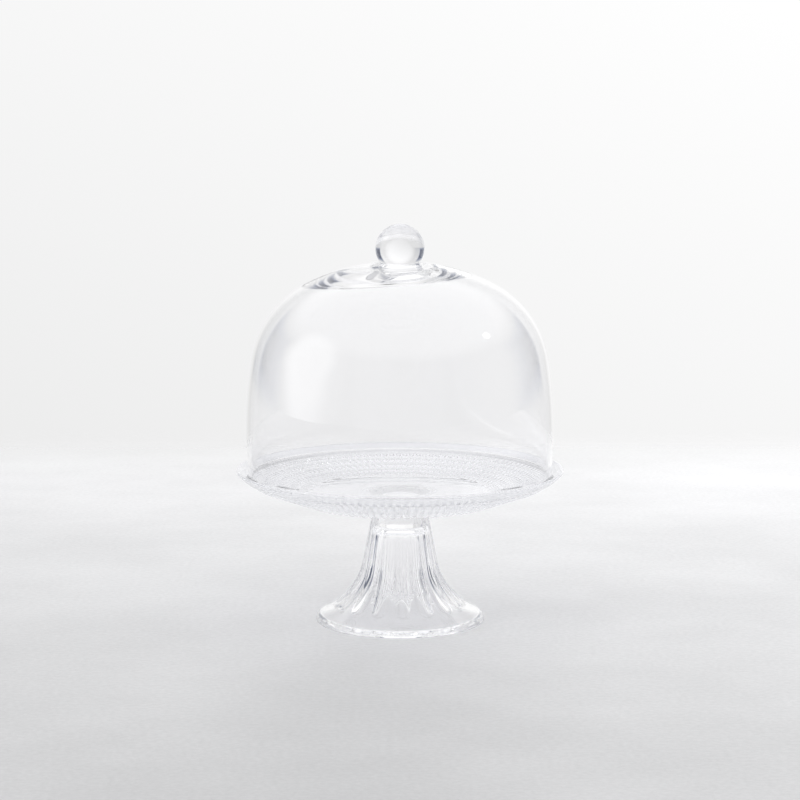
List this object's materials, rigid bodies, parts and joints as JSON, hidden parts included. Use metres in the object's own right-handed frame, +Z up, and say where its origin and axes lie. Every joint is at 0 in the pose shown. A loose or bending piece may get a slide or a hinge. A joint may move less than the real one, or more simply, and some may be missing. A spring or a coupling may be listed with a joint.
{
  "type": "cake stand with dome",
  "caption": "Clear glass cake stand: a beaded plate on a fluted pedestal foot, covered by a lift-off bell dome with a ball knob.",
  "frame": {"origin": "on the table, under the centre of the foot", "axes": "+Z is up the common axis of foot, plate, dome and knob; the object looks the same from all sides"},
  "size_m": [0.2, 0.2, 0.243],
  "materials": {
    "plate_glass": "colourless pressed glass, fire-polished, beaded underneath",
    "foot_glass": "colourless pressed glass, fire-polished, fluted outside",
    "dome_glass": "colourless blown glass, smooth and glossy",
    "knob_glass": "colourless solid glass, smooth and glossy"
  },
  "bodies": {
    "stand": {"cake_plate": "plate_glass", "pedestal_foot": "foot_glass"},
    "dome": {"dome_shell": "dome_glass", "dome_knob": "knob_glass"}
  },
  "joints": [
    {"name": "dome_lift", "type": "slide", "parent": "stand", "child": "dome", "axis": [0, 0, 1], "range_m": [0, 0.2]}
  ]
}
